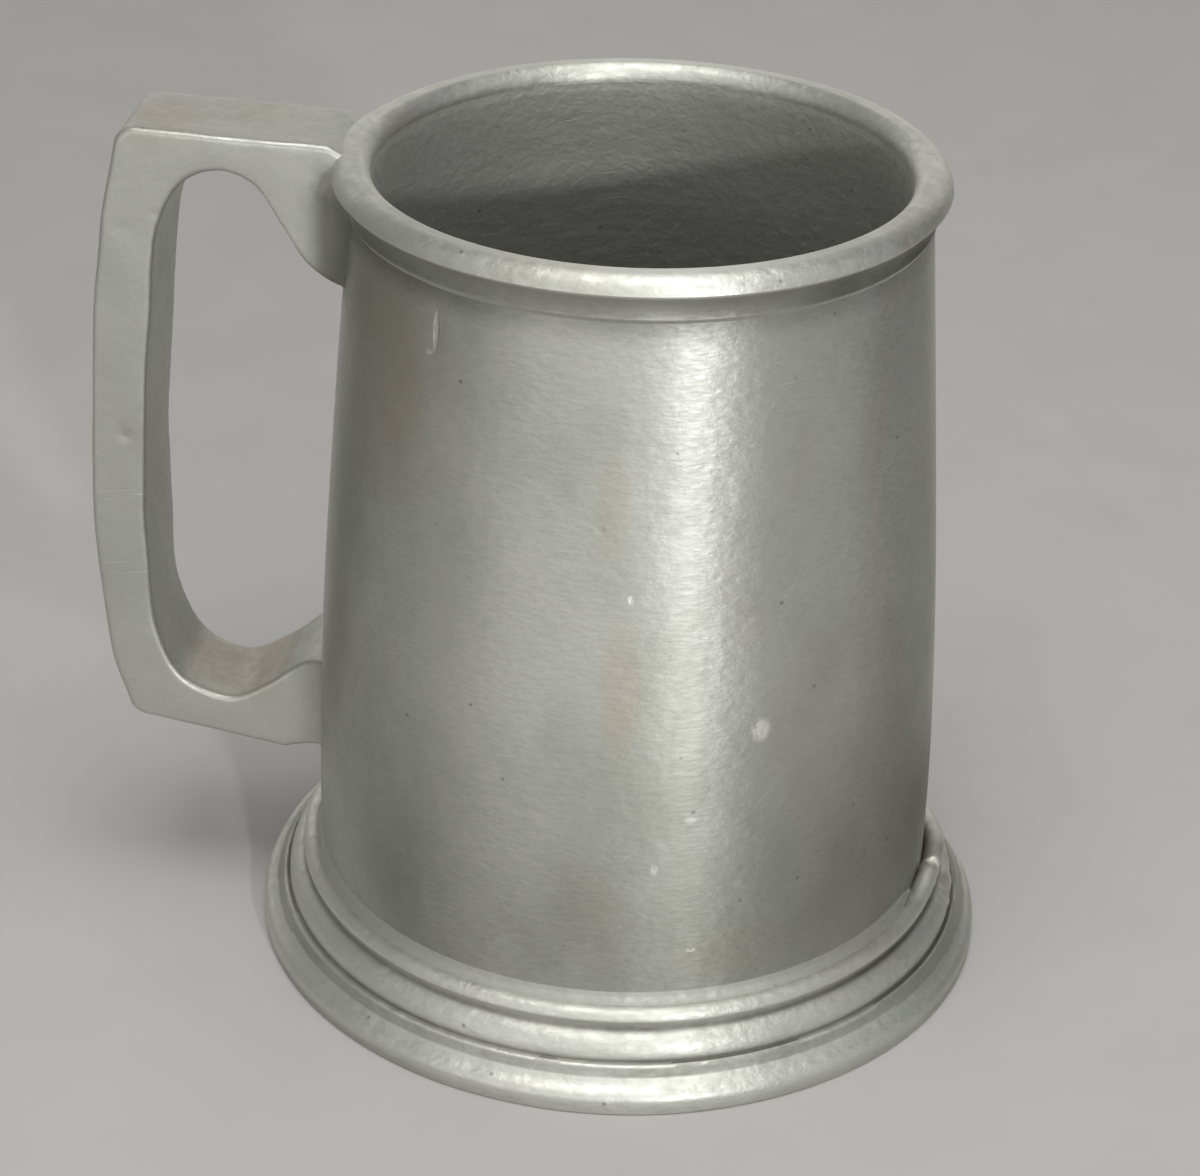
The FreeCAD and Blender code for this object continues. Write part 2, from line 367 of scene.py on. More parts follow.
def pewter(name, tone=1.0, grain=(620, 620, 2300), rough=0.51, brushed=0.80, tarnish=1.0, relief=1.5,
           stains=(), spots=()):
    """Old satin pewter: turned grain, mottled tarnish, stray scratches, pits, worn edges, and soiling with
    painted shade.

    Grain is in features a metre along X, Y and Z; tarnish and relief are strengths round 1."""
    s = Shader(name)
    clouds = s.noise(s.stretched((24, 24, 17)), detail=5, rough=0.6)
    colour = tarnished(s, clouds, tone, tarnish, stains)
    fine = s.noise(s.stretched(grain), detail=3, rough=0.6)
    coarse = s.noise(s.stretched(tuple(g * 0.35 for g in grain)), detail=2, rough=0.5)
    colour = s.mix(s.band(fine, 0.35, 0.7, 0.0, 0.22), colour, toned(DULL, tone))
    scratches = stray_scratches(s)
    colour = s.mix(s.times(scratches, 0.14), colour, BRIGHT)
    pits = few_pits(s)
    colour = s.mix(s.times(pits, 0.45), colour, GRIME_AND_SHADE)

    wear = s.attribute("wear")
    dirt_and_shade = s.attribute("grime_and_shade")
    broken = s.noise(s.stretched((700, 700, 700)), detail=3)
    worn = s.times(wear, s.band(broken, 0.3, 0.6, 0.45, 1.0))
    colour = s.mix(s.times(worn, 0.7), colour, BRIGHT)
    # painted shade and soiling: darkened towards near-black where the vertex levels say
    soiled_and_shaded = s.times(dirt_and_shade, s.band(clouds, 0.25, 0.7, 0.7, 1.0))
    colour = s.mix(s.times(soiled_and_shaded, 0.92), colour, GRIME_AND_SHADE)

    grain_rough = s.band(fine, 0.3, 0.7, rough - 0.05, rough + 0.06)
    roughness = s.math("ADD", grain_rough, s.band(clouds, 0.35, 0.7, 0.0, 0.05))
    roughness = s.math("ADD", roughness, s.times(soiled_and_shaded, 0.18))
    roughness = s.math("SUBTRACT", roughness, s.times(worn, 0.12))

    turning = s.math("ADD", s.times(fine, 0.6), coarse)
    normal = s.bump(turning, 0.00004 * relief)
    peel = s.noise(s.stretched((520, 520, 700)), detail=3, rough=0.55)
    normal = s.bump(peel, 0.00005 * relief, normal)
    swell = s.noise(s.stretched((150, 150, 130)), detail=2, rough=0.5)
    normal = s.bump(swell, 0.00005 * relief, normal)
    normal = s.bump(s.math("ADD", scratches, pits), -0.00002, normal)
    for spot, stretch, size, depth, light in spots:
        mark = s.times(s.near(spot, stretch, size), s.band(broken, 0.30, 0.44))
        colour = s.mix(s.times(mark, light), colour, BRIGHT)
        normal = s.bump(mark, -depth, normal)

    s.link(colour, s.surface.inputs["Base Color"])
    s.link(roughness, s.surface.inputs["Roughness"])
    s.link(normal, s.surface.inputs["Normal"])
    s.surface.inputs["Metallic"].default_value = 1.0
    if brushed:
        turned_sheen(s, brushed)
    return s.material


def curvature(mesh, passes=2):
    """How sharply the surface bends at each vertex: ridges below zero, hollows above."""
    count = len(mesh.vertices)
    places = np.zeros(count * 3)
    mesh.vertices.foreach_get("co", places)
    places = places.reshape(-1, 3) / MM
    normals = np.zeros(count * 3)
    mesh.vertices.foreach_get("normal", normals)
    normals = normals.reshape(-1, 3)
    pairs = np.zeros(len(mesh.edges) * 2, int)
    mesh.edges.foreach_get("vertices", pairs)
    a, b = pairs.reshape(-1, 2).T
    span = places[b] - places[a]
    gap = np.maximum((span**2).sum(1), 1e-8)
    bend = np.zeros(count)
    weight = np.zeros(count)
    for here, sign in ((a, 1), (b, -1)):
        np.add.at(bend, here, 2 * sign * (span * normals[here]).sum(1) / np.sqrt(gap))
        np.add.at(weight, here, np.sqrt(gap))
    bend /= weight
    for _ in range(passes):
        total, near = bend.copy(), np.ones(count)
        np.add.at(total, a, bend[b])
        np.add.at(total, b, bend[a])
        np.add.at(near, a, 1)
        np.add.at(near, b, 1)
        bend = total / near
    return bend


def put_levels(mesh, name, level):
    """Store one number from 0 to 1 for each vertex."""
    layer = mesh.attributes.new(name, "FLOAT", "POINT")
    layer.data.foreach_set("value", np.clip(level, 0, 1).astype(np.float32))


def add_wear(piece, wear_range, grime_and_shade_range, bend=None, extra_grime_and_shade=None, unworn=math.inf):
    """Vertex levels for the material: 'wear' on ridges, soiling and painted shade in hollows and wherever the
    extra function adds them.

    Above the height called unworn the edges are hidden in a joint and get no wear."""
    mesh = piece.data
    bend = curvature(mesh) if bend is None else bend
    places = np.array([v.co for v in mesh.vertices]) / MM
    bend = np.where(places[:, 2] > unworn, 0.0, bend)
    put_levels(mesh, "wear", (-bend - wear_range[0]) / (wear_range[1] - wear_range[0]))
    # hollows get soiling and painted shade by how sharply they bend
    grime_and_shade = np.clip((bend - grime_and_shade_range[0]) / (grime_and_shade_range[1] - grime_and_shade_range[0]), 0, 1)
    if extra_grime_and_shade:
        radius = np.hypot(places[:, 0], places[:, 1])
        angle = np.arctan2(places[:, 1], places[:, 0])
        grime_and_shade = np.maximum(grime_and_shade, extra_grime_and_shade(radius, angle, places[:, 2]))
    put_levels(mesh, "grime_and_shade", grime_and_shade)


def line_inside(piece, material, is_inside):
    """Give a second look to the faces whose centres, in millimetres, pass the test."""
    piece.data.materials.append(material)
    for face in piece.data.polygons:
        face.material_index = int(is_inside(face.center / MM))


def ramp(low, high, value):
    """A smooth step from 0 at low to 1 at high; low may be the larger."""
    t = np.clip((value - low) / (high - low), 0, 1)
    return t * t * (3 - 2 * t)


# ------------------------------------------------------------------- barrel
# azimuth in degrees, height, reach round and up, and depth, in millimetres
BARREL_DENTS = [
    (-124.5, 107.5, 1.6, 5.0, 0.16),
    (-150.0, 48.0, 9.0, 12.0, 0.35),
    (-35.0, 84.0, 12.0, 10.0, 0.30),
    (40.0, 60.0, 14.0, 16.0, 0.45),
    (110.0, 88.0, 10.0, 8.0, 0.35),
    (135.0, 35.0, 8.0, 10.0, 0.30),
]
NECK_HEIGHT = 14.0        # over this height below the lip the wall thickens to meet the mouth


def on_barrel(azimuth, height):
    """A place on the barrel's outside, in metres."""
    r, turn = barrel_radius(height) * MM, math.radians(azimuth)
    return (r * math.cos(turn), r * math.sin(turn), height * MM)


def make_barrel(material, inner_material):
    """The wall, a tube open at both ends; its inner faces have their own look."""
    outer = [(barrel_radius(z), z) for z in np.linspace(BARREL_LOW_Z, BARREL_TOP_Z, 130)]
    inner = []
    for z in np.linspace(BARREL_TOP_Z, BARREL_LOW_Z, 120):
        neck = ramp(BARREL_TOP_Z - NECK_HEIGHT, BARREL_TOP_Z, z)
        gap = BARREL_TOP_R - BARREL_WALL - MOUTH_R
        inner.append((barrel_radius(z) - BARREL_WALL - gap * float(neck), z))
    outline = outer + inner[:1] + [(inner[0][0], inner[0][1] - CLOSE_RING)] + inner[1:]
    sway = ripples(SEED, 5, 90, 0.10)
    hammer = ripples(SEED + 1, 34, 24, 0.045)

    def shape(r, angle, z):
        """Uneven all over and dented in places, but true where the foot and the lip hold it."""
        edge = np.clip((z - BARREL_LOW_Z - 6) / 12, 0, 1) * np.clip((BARREL_TOP_Z - 4 - z) / 10, 0, 1)
        move = (sway(angle, z) + hammer(angle, z)) * edge
        for azimuth, height, across, tall, depth in BARREL_DENTS:
            off = (angle - math.radians(azimuth) + math.pi) % math.tau - math.pi
            move -= depth * np.exp(-((off * r / across) ** 2) - ((z - height) / tall) ** 2) * edge
        return r + move, z

    piece = lathe("barrel_wall", outline, 448, material, ["barrel"], shape)
    smoke = ripples(SEED + 12, 9, 30, 0.5)

    def tarnish(r, angle, z):
        """A painted shadow line under the lip's overhang, darker towards the foot, and dregs low down inside.
        """
        outside = r > BARREL_TOP_R - 1.2
        patchy = 0.75 + smoke(angle, z)
        # painted shade: the dark band under the lip's overhang
        shade_under_lip = ramp(LIP_SKIRT_Z - 4.5, LIP_SKIRT_Z - 0.2, z) * 0.60 * outside
        above_foot = ramp(COLLAR_TOP_Z + 52, COLLAR_TOP_Z + 2, z) * 0.52 * outside
        low_inside = ramp(DISC_TOP_Z + 9, DISC_TOP_Z, z) * 0.6 * (1 - outside)
        return np.clip((shade_under_lip + above_foot + low_inside) * patchy, 0, 1)

    add_wear(piece, (0.10, 0.45), (0.05, 0.30), extra_grime_and_shade=tarnish, unworn=BARREL_TOP_Z - 1.0)
    half_wall = BARREL_WALL / 2
    line_inside(piece, inner_material, lambda at: math.hypot(at.x, at.y) < barrel_radius(at.z) - half_wall)


# ---------------------------------------------------------------------- lip
HUMP = 1.1                # how far the lip rises, in millimetres, where the handle's arm runs on to it
HUMP_REACH = 9.5          # and how far round it does so
MOUTH_ROUND = 2.6         # depth of the rounding inside the mouth


def make_lip(material, inner_material):
    """The rolled lip over the barrel's top, with a cove below it and a rounded mouth."""
    skirt_r = barrel_radius(LIP_SKIRT_Z)
    edge = (LIP_R, LIP_TOP_Z - 2.3)
    cove = arc_points((skirt_r + 0.45, LIP_SKIRT_Z), (skirt_r + 0.7, LIP_SKIRT_Z + 2.3),
                      (LIP_R - 0.45, LIP_TOP_Z - 2.75), 12)
    roll = arc_points(edge, (LIP_R - 0.8, LIP_TOP_Z - 0.75), (LIP_R - 2.9, LIP_TOP_Z - 0.02), 16)
    mouth = arc_points((MOUTH_R + 1.5, LIP_TOP_Z), (MOUTH_R + 0.42, LIP_TOP_Z - 0.8),
                       (MOUTH_R, LIP_TOP_Z - MOUTH_ROUND), 12)
    inside = [(MOUTH_R, BARREL_TOP_Z), (MOUTH_R, BARREL_TOP_Z - CLOSE_RING)]
    seat = [(BARREL_TOP_R - 0.8, BARREL_TOP_Z - 0.4), (skirt_r - 0.3, LIP_SKIRT_Z)]
    outline = resampled(cove + roll + mouth + inside + seat, 0.45)
    sway = ripples(SEED + 2, 4, 200, 0.10)
    worn = ripples(SEED + 3, 60, 9, 0.075)

    def shape(r, angle, z):
        outside = np.clip((r - MOUTH_R - 0.4) / 3, 0, 1)
        rub = worn(angle, z) * outside
        round_handle = ((angle - math.pi) * LIP_R / HUMP_REACH) ** 2
        hump = HUMP * np.exp(-round_handle) * ramp(MOUTH_R, LIP_R - 1, r) * ramp(LIP_TOP_Z - 3, LIP_TOP_Z, z)
        moved_r = r + (sway(angle, z * 0)) * outside + rub
        return moved_r, z + worn(angle, r) * 0.5 * outside * (z < LIP_TOP_Z - 0.5) + hump

    piece = lathe("lip", outline, 512, material, ["lip_ring"], shape)
    smoke = ripples(SEED + 13, 14, 10, 0.4)

    def tarnish(r, angle, z):
        """Painted shade in the cove under the lip's roll."""
        under = ramp(LIP_TOP_Z - 2.3, LIP_TOP_Z - 3.1, z) * (r > skirt_r + 0.2)
        return under * np.clip(0.85 + smoke(angle, z), 0, 1)

    add_wear(piece, (0.35, 1.2), (0.10, 0.6), extra_grime_and_shade=tarnish)
    bore_top = LIP_TOP_Z - MOUTH_ROUND + 0.1
    line_inside(piece, inner_material, lambda at: math.hypot(at.x, at.y) < MOUTH_R + 0.06 and at.z < bore_top)


# --------------------------------------------------------------------- foot
KINK_AZIMUTH = -8.0       # degrees; where the foot's collar has been knocked off the barrel
# where the flange has been pressed in: azimuth and half width in degrees, depth in millimetres
FLATTENED = [(12.0, 26.0, 1.2), (25.0, 10.0, 1.4), (172.0, 24.0, 0.5)]


def make_foot(material):
    """The moulded foot: rim, flange, bead, groove and collar outside, a hollow underneath."""
    bore = BARREL_BASE_R
    low_r = FOOT_R - 2.4
    flange = arc_points((FOOT_R - 1.1, 3.5), (52.7, 4.5), (51.95, 5.75), 12)
    bead = arc_points((50.75, 6.1), (50.3, 8.1), (48.9, 9.4), 14)
    groove = arc_points((48.9, 9.4), (48.2, 9.95), (48.5, 11.1), 10)
    collar = arc_points((48.5, 11.1), (48.0, 12.2), (46.8, COLLAR_TOP_Z), 10)
    outline = (
        [(low_r, 0.3), (low_r + 0.3, 0.0), (FOOT_R - 0.4, 0.0), (FOOT_R - 0.1, 0.15), (FOOT_R, 0.45)]
        + arc_points((FOOT_R, 2.1), (FOOT_R - 0.4, 3.0), (FOOT_R - 1.1, 3.5), 8)
        + flange[1:]
        + [(51.75, 6.0), (51.5, 6.08), (51.15, 6.0)]
        + bead
        + groove[1:]
        + collar[1:]
        + [(bore + 0.35, COLLAR_TOP_Z - 0.25), (bore - 0.1, COLLAR_TOP_Z - 0.8)]
        + [(bore - 0.1, 6.2), (bore + 0.4, 5.6), (low_r - 3.6, 3.9), (low_r - 0.2, 0.8)]
    )
    outline = resampled(outline, 0.42)
    sway = ripples(SEED + 4, 5, 300, 0.06)
    worn = ripples(SEED + 5, 66, 10, 0.085)

    def shape(r, angle, z):
        outside = np.clip((r - bore - 0.6) / 2, 0, 1)
        standing = np.clip(z / 1.5, 0, 1)
        move = (sway(angle, z * 0) + worn(angle, z)) * outside
        for azimuth, half_width, depth in FLATTENED:
            off = (np.degrees(angle) - azimuth + 180) % 360 - 180
            move -= depth * np.exp(-((off / half_width) ** 2)) * ramp(bore + 2, FOOT_R, r)
        move = np.minimum(move, np.maximum(0.0, FOOT_R - r))
        off = (np.degrees(angle) - KINK_AZIMUTH + 180) % 360 - 180
        # the collar swells and lifts towards a crease, and stands off the barrel beyond it
        collar_share = ramp(9.6, 12.2, z)
        before = np.exp(-((off / 7.0) ** 2)) * (off <= 0)
        beyond = np.exp(-(((off - 8.0) / 8.5) ** 2)) * (off > 0)
        crease = np.exp(-(((off - 0.8) / 1.0) ** 2))
        out = 0.45 * before + 0.65 * beyond - 0.5 * crease
        lift = 2.3 * before + 1.9 * beyond - 0.8 * crease
        creased = np.exp(-((off - 3) / 7.0) ** 2) * ramp(6.2, 7.5, z) * (1 - collar_share)
        folds = 0.36 * np.sin(off * 1.1 + 1.2 * np.sin(off * 0.45)) * creased
        lifted = z + worn(angle, r) * 0.5 * outside * standing + lift * collar_share
        return r + move + out * collar_share + folds * outside, lifted

    piece = lathe("foot", outline, 640, material, ["foot_ring"], shape)
    smoke = ripples(SEED + 14, 16, 12, 0.35)

    def tarnish(r, angle, z):
        """Painted shade in the two grooves and on the rim's upright edge, and darker all over the hollow
        underside.
        """
        in_groove = np.exp(-(((r - 48.3) / 0.45) ** 2) - ((z - 9.9) / 0.7) ** 2)
        in_step = np.exp(-(((r - 50.9) / 0.4) ** 2) - ((z - 6.1) / 0.5) ** 2) * 0.9
        upright = ramp(2.2, 0.6, z) * (r > FOOT_R - 1) * 0.45
        below = 0.55 * (z < 6.0) * (r < low_r)
        return np.clip((in_groove + in_step + upright + below) * (0.8 + smoke(angle, z)), 0, 1)

    add_wear(piece, (0.22, 1.0), (0.12, 0.8), extra_grime_and_shade=tarnish)


# ---------------------------------------------------------- floor and seams
def make_floor(material, inner_material):
    """The round floor, very slightly dished; its top has the look of the inside."""
    radius = BARREL_BASE_R - BARREL_WALL
    rings = np.linspace(1.2, radius - 0.6, 48)
    dish = 0.35
    top = [(r, DISC_TOP_Z - dish * (1 - (r / radius) ** 2)) for r in rings[::-1]]
    under = [(r, DISC_LOW_Z + 0.06 * math.sin(r * 1.1) ** 2) for r in rings]
    side = [(radius, DISC_LOW_Z + 0.4), (radius, DISC_TOP_Z - 0.4)]
    outline = under + side + top
    segments = 192
    angle = np.linspace(0, math.tau, segments, endpoint=False)
    vertices = [(r * math.cos(a), r * math.sin(a), z) for a in angle for r, z in outline]
    count = len(outline)
    faces = []
    for i in range(segments):
        for j in range(count - 1):
            a, b = i * count + j, i * count + j + 1
            nxt = ((i + 1) % segments) * count + j
            faces.append((a, b, nxt + 1, nxt))
    low_centre, high_centre = len(vertices), len(vertices) + 1
    vertices += [(0, 0, outline[0][1]), (0, 0, outline[-1][1])]
    for i in range(segments):
        here, nxt = i * count, ((i + 1) % segments) * count
        faces.append((low_centre, here, nxt))
        faces.append((high_centre, nxt + count - 1, here + count - 1))
    piece = new_piece("floor", vertices, faces, material, ["floor_disc"])
    stain = ripples(SEED + 15, 7, 40, 0.6)

    def tarnish(r, angle, z):
        """Dregs round the edge, and a dull underside."""
        above = z > (DISC_LOW_Z + DISC_TOP_Z) / 2
        ring = ramp(radius - 9, radius - 1, r) * 0.6
        return np.clip(np.where(above, ring + 0.2, 0.45) * (0.8 + stain(angle, r)), 0, 1)

    add_wear(piece, (0.3, 1.0), (0.1, 0.6), extra_grime_and_shade=tarnish)
    line_inside(piece, inner_material, lambda at: at.z > DISC_TOP_Z - 0.6)


SEAM_TAPER = 16           # steps over which an open seam thins out at its ends
SEAM_TIP = 0.3            # its thickness there, as a share of the whole


def make_seam(name, outline, seed, lump, material, replaced, start=0.0, end=360.0, wear_range=(0.6, 2.5)):
    """A lumpy hand-run line of solder; it closes on itself unless start and end leave a gap."""
    whole = end - start >= 360
    segments = 720
    angle = np.radians(np.linspace(start, end, segments, endpoint=not whole))
    fat = ripples(seed, 22, 60, lump)
    grains = np.random.default_rng(seed).normal(0, lump, segments)
    ragged = (grains + np.roll(grains, 1)) / 2
    centre = np.mean(outline, axis=0)
    count = len(outline)
    vertices = []
    for step, (a, burr) in enumerate(zip(angle, ragged)):
        to_end = min(step, segments - 1 - step) / SEAM_TAPER
        thin = 1.0 if whole else float(SEAM_TIP + (1 - SEAM_TIP) * ramp(0, 1, to_end))
        for r, z in outline:
            swell = thin * (1 + burr + float(fat(np.array(a), np.array(z))))
            rr, zz = centre + (np.array((r, z)) - centre) * swell
            vertices.append((rr * math.cos(a), rr * math.sin(a), zz))
    faces = []
    for i in range(segments if whole else segments - 1):
        for j in range(count):
            a, b = i * count + j, i * count + (j + 1) % count
            nxt = ((i + 1) % segments) * count
            faces.append((a, b, nxt + (j + 1) % count, nxt + j))
    if not whole:
        faces.append(tuple(range(count)))
        faces.append(tuple(range(len(vertices) - 1, len(vertices) - count - 1, -1)))
    piece = new_piece(name, vertices, faces, material, [replaced])
    add_wear(piece, wear_range, (0.4, 2.0))


# ------------------------------------------------------------------- handle
# The side view, in millimetres: s is the distance from the barrel's axis.
ARM_TOP = [(38.4, 121.45), (68.2, 122.5)]
TOP_CORNER = [(68.2, 122.5), (70.4, 121.8), (71.5, 119.8)]
BACK = [(71.5, 119.8), (74.3, 106.9), (76.4, 86.9), (77.6, 61.3), (76.3, 40.6), (74.0, 32.0)]
LOW_CORNER = [(74.0, 32.0), (73.1, 30.2), (71.3, 29.4)]
ARM_BOTTOM = [(71.3, 29.4), (50.6, 25.8)]
HEEL = [(50.6, 25.8), (47.0, 27.0), (43.0, 29.2)]
GRIP = [
    (38.4, 102.9), (41.6, 102.6), (45.0, 104.3), (48.4, 109.6), (52.2, 115.2), (57.0, 117.0),
    (62.2, 115.0), (65.8, 108.6), (67.6, 95.0), (69.0, 80.8), (69.9, 60.0), (69.2, 44.5),
    (65.4, 36.5), (58.8, 33.7), (52.6, 36.6), (47.0, 41.0), (43.0, 43.2),
]
UPPER_JOIN_S = 46.5       # where the handle's sides begin to sweep out to the barrel
LOWER_JOIN_S = 50.0
LIP_REACH = (38.5, 42.4)  # between these the arm's top eases down on to the lip

# matched places on the grip and on the outside, between the two joins
RUNGS = [
    ((52.2, 115.2), (53.0, 121.9)), ((57.0, 117.0), (59.0, 122.2)), ((62.2, 115.0), (68.2, 122.5)),
    ((65.8, 108.6), (72.4, 115.5)), ((67.6, 95.0), (75.5, 97.0)), ((69.9, 60.0), (77.6, 60.0)),
    ((69.2, 44.5), (76.7, 43.0)), ((65.4, 36.5), (73.2, 30.6)), ((58.8, 33.7), (60.5, 27.6)),
    ((52.6, 36.6), (53.0, 26.2)),
]
STATIONS = 320            # rings down the strap
EASE_STEPS = 12           # rings over which its unevenness fades at each end
SMOOTH_STEPS = 13         # rings averaged to spread the rungs evenly
JOINT_STEPS = 22          # rings down each joint
SETTLE_TURNS = 8          # more than enough for a joint's points to stop moving
SIDE_STEPS = 18           # points round a ring: across a side, a face and a rounded corner
FACE_STEPS = 14
CORNER_STEPS = 6
CROWN = 0.05              # how far the flat faces bulge
EDGE_ROUND = 0.8
SINK = 0.25               # how far the handle's ends run into the barrel
END_SHARES = (0.75, 0.5, 0.25)      # sizes of the rings that close an end


def path_lengths(points):
    """Distance along the path to each of its points."""
    steps = np.linalg.norm(np.diff(points, axis=0), axis=1)
    return np.concatenate([[0], np.cumsum(steps)])


def nearest_length(points, lengths, target):
    """Distance along the path to the point nearest the target."""
    return lengths[np.argmin(np.linalg.norm(points - np.array(target), axis=1))]


def at_length(points, lengths, wanted):
    """Points at the wanted distances along the path."""
    return np.stack([np.interp(wanted, lengths, points[:, k]) for k in (0, 1)], -1)


def straight(a, b, count):
    """Evenly spaced points from a to b."""
    return [tuple(np.array(a) * (1 - t) + np.array(b) * t) for t in np.linspace(0, 1, count)]


OUTSIDE = np.array(
    straight(*ARM_TOP, 80) + arc_points(*TOP_CORNER, 24)[1:] + spline_points(BACK, 260)[1:]
    + arc_points(*LOW_CORNER, 14)[1:] + straight(*ARM_BOTTOM, 60)[1:] + arc_points(*HEEL, 20)[1:]
)
INSIDE = np.array(spline_points(GRIP, 520))


def upper_heights(s):
    """Heights of the upper arm's grip side and of its top, which eases down on to the lip."""
    front = INSIDE[:150]
    low = np.interp(s, front[:, 0], front[:, 1])
    arm = np.interp(s, [p[0] for p in ARM_TOP], [p[1] for p in ARM_TOP])
    seat = LIP_TOP_Z - 0.1
    return float(low), float(seat + (arm - seat) * ramp(*LIP_REACH, s))


def lower_heights(s):
    """Heights of the lower arm's grip side and of its underside, the heel."""
    tail, under = INSIDE[::-1][:150], OUTSIDE[::-1][:70]
    return float(np.interp(s, tail[:, 0], tail[:, 1])), float(np.interp(s, under[:, 0], under[:, 1]))


def section(depth, half_width, edge, crown):
    """A rounded rectangle from the grip to the outside: (share of the way out, y) pairs."""
    points = []
    for way, side, first in ((0, 1, 180), (1, 1, 90), (1, -1, 0), (0, -1, -90)):
        centre_x = edge if way == 0 else depth - edge
        for step in range(CORNER_STEPS):
            turn = math.radians(first - 90 * step / (CORNER_STEPS - 1))
            y = side * (half_width - edge) + edge * math.sin(turn)
            points.append((centre_x + edge * math.cos(turn), y))
        along_side = way == (0 if side == 1 else 1)
        steps = SIDE_STEPS if along_side else FACE_STEPS
        for step in range(1, steps):
            t = step / steps
            pull = crown * (4 * t * (1 - t) - 1) + crown
            if along_side:
                x = edge + (depth - 2 * edge) * (t if side == 1 else 1 - t)
                points.append((x, side * (half_width + pull)))
            else:
                y = (half_width - edge) * (1 - 2 * t) * (1 if way else -1)
                points.append((depth + pull if way else -pull, y))
    return [(x / depth, y) for x, y in points]


def strap_rings():
    """Rings of (s, y, z) points down the handle between its joins, and the end rings' shares."""
    out_len, in_len = path_lengths(OUTSIDE), path_lengths(INSIDE)
    low, high = upper_heights(UPPER_JOIN_S)
    first = ((UPPER_JOIN_S, low), (UPPER_JOIN_S, high))
    low, high = lower_heights(LOWER_JOIN_S)
    last = ((LOWER_JOIN_S, low), (LOWER_JOIN_S, high))
    rungs = [first] + RUNGS + [last]
    out_marks = [nearest_length(OUTSIDE, out_len, o) for _, o in rungs]
    in_marks = [nearest_length(INSIDE, in_len, i) for i, _ in rungs]
    middle = [(a + b) / 2 for a, b in zip(out_marks, in_marks)]
    marks = (np.array(middle) - middle[0]) / (middle[-1] - middle[0])
    t = np.linspace(0, 1, STATIONS)
    out_at, in_at = np.interp(t, marks, out_marks), np.interp(t, marks, in_marks)
    for at in (out_at, in_at):
        reach = SMOOTH_STEPS // 2
        at[reach:-reach] = np.convolve(at, np.ones(SMOOTH_STEPS) / SMOOTH_STEPS, "valid")
    outer, inner = at_length(OUTSIDE, out_len, out_at), at_length(INSIDE, in_len, in_at)
    (inner[0], outer[0]), (inner[-1], outer[-1]) = first, last
    wander = ripples(SEED + 8, 6, 60, 0.10)
    fray = ripples(SEED + 9, 60, 5, 0.45)
    rings, shares = [], []
    for k in range(STATIONS):
        turn, height = np.array(math.tau * t[k]), np.array(0.0)
        ease = min(1.0, k / EASE_STEPS, (STATIONS - 1 - k) / EASE_STEPS)
        half = HANDLE_HALF_WIDTH - 0.05 + float(wander(turn, height)) * ease
        edge = EDGE_ROUND * (1 + float(fray(turn, height)) * ease)
        depth = float(np.linalg.norm(outer[k] - inner[k]))
        share_list = section(depth, half, edge, CROWN)
        ring = []
        for share, y in share_list:
            s, z = inner[k] + (outer[k] - inner[k]) * share
            ring.append((s, y, z))
        rings.append(ring)
        shares.append(share_list)
    return rings, shares[0], shares[-1]


def body_radius(z):
    """Outside radius of the barrel and the lip at height z, where a handle end meets them."""
    skirt_r = barrel_radius(LIP_SKIRT_Z)
    if z < LIP_SKIRT_Z - 0.6:
        return barrel_radius(z)
    heights = [LIP_SKIRT_Z - 0.6, LIP_SKIRT_Z + 2.2, LIP_TOP_Z - 2.6, LIP_TOP_Z - 0.75, LIP_TOP_Z + 0.3]
    radii = [skirt_r, skirt_r + 0.5, LIP_R - 1.2, LIP_R - 2.0, LIP_R - 3.4]
    return float(np.interp(z, heights, radii))


def joint_rings(shares, join_s, heights, flare_top):
    """Rings from the end of the handle into the barrel, its sides sweeping out to meet the wall."""
    half = HANDLE_HALF_WIDTH
    rings = []
    for k in range(JOINT_STEPS + 1):
        u = k / JOINT_STEPS
        ring = []
        for share, y in shares:
            q = abs(y) / half
            low, high = heights(join_s)
            z = low + (high - low) * share
            # the radius depends on the height and the height on the radius, so both are settled in turns
            for _ in range(SETTLE_TURNS):
                radius = body_radius(z) - SINK
                sweep = (join_s**2 + half**2 - radius**2) / (2 * (radius - half))
                end_angle = math.asin((half + sweep) / (radius + sweep))
                turn = math.pi / 2 - end_angle
                s_arc = join_s - sweep * math.sin(turn * u)
                y_arc = half + sweep * (1 - math.cos(turn * u))
                s_end, y_end = radius * math.cos(q * end_angle), radius * math.sin(q * end_angle)
                reach = (join_s - s_end) / (join_s - radius * math.cos(end_angle))
                widen = (y_end - q * half) / (radius * math.sin(end_angle) - half)
                s_swept = join_s + (s_arc - join_s) * reach
                y_swept = q * half + (y_arc - half) * widen
                s_plain = join_s + (math.sqrt(radius**2 - (q * half) ** 2) - join_s) * u
                flare = 1 - float(ramp(*flare_top, z))
                s = s_plain + (s_swept - s_plain) * flare
                low, high = heights(s)
                z = low + (high - low) * share
            ring.append((s, math.copysign(q * half + (y_swept - q * half) * flare, y), z))
        rings.append(ring)
    return rings


def end_rings(last):
    """Rings that close a handle end inside the barrel's wall, curved with it so that none cuts through."""
    middle = sum(z for _, _, z in last) / len(last)
    rings = []
    for share in END_SHARES:
        ring = []
        for _, y, z in last:
            y, z = y * share, middle + (z - middle) * share
            ring.append((math.sqrt((body_radius(z) - SINK) ** 2 - y**2), y, z))
        rings.append(ring)
    return rings


DENT_WAVES = 26
DENT_LENGTHS = (5, 26)    # wavelengths, in millimetres


